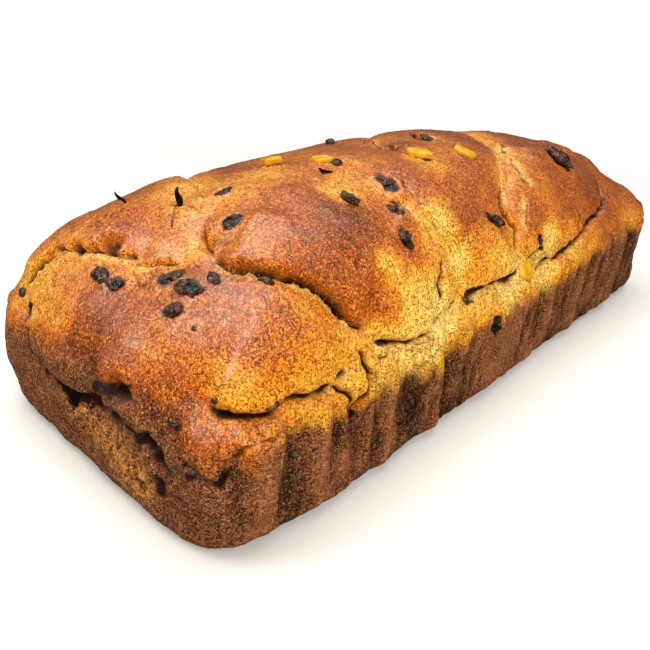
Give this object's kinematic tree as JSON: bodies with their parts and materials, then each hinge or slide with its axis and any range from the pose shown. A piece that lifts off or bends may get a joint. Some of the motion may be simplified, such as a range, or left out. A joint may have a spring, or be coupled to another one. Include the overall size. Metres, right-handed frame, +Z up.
{
  "type": "sweet fruit loaf",
  "caption": "Sweet festive fruit bread baked in a long loaf tin: plump twisted strands on top, a dark creased tin wall, raisins and candied peel set in the crust.",
  "frame": {"origin": "centre of the flat base, on the surface the loaf rests on", "axes": "+X along the loaf towards its lower end, +Y across it, +Z up out of the risen top"},
  "size_m": [0.3029, 0.123, 0.0893],
  "materials": {
    "crust": "baked sweet dough crust, satin, dark brown where the tin touched it and pale gold where it tore open",
    "raisin": "wrinkled baked raisin, dark brown, slightly sticky",
    "peel": "candied citrus peel, translucent yellow, sticky"
  },
  "bodies": {
    "root": {"candied_peel_back": "peel", "candied_peel_edge": "peel", "candied_peel_far": "peel", "candied_peel_sunk": "peel", "candied_peel_top": "peel", "fruit_slab_end": "raisin", "loaf": "crust", "raisin_cluster_long": "raisin", "raisin_cluster_short": "raisin", "raisin_far_end": "raisin", "raisin_fifth_tip": "raisin", "raisin_fifth_top": "raisin", "raisin_first_edge": "raisin", "raisin_first_long": "raisin", "raisin_first_low": "raisin", "raisin_first_small": "raisin", "raisin_first_top": "raisin", "raisin_fourth": "raisin", "raisin_fourth_tip": "raisin", "raisin_third_back": "raisin", "raisin_third_far": "raisin", "raisin_third_near": "raisin", "raisin_valley": "raisin", "raisin_wall_low": "raisin", "raisin_wall_middle": "raisin"}
  },
  "joints": []
}
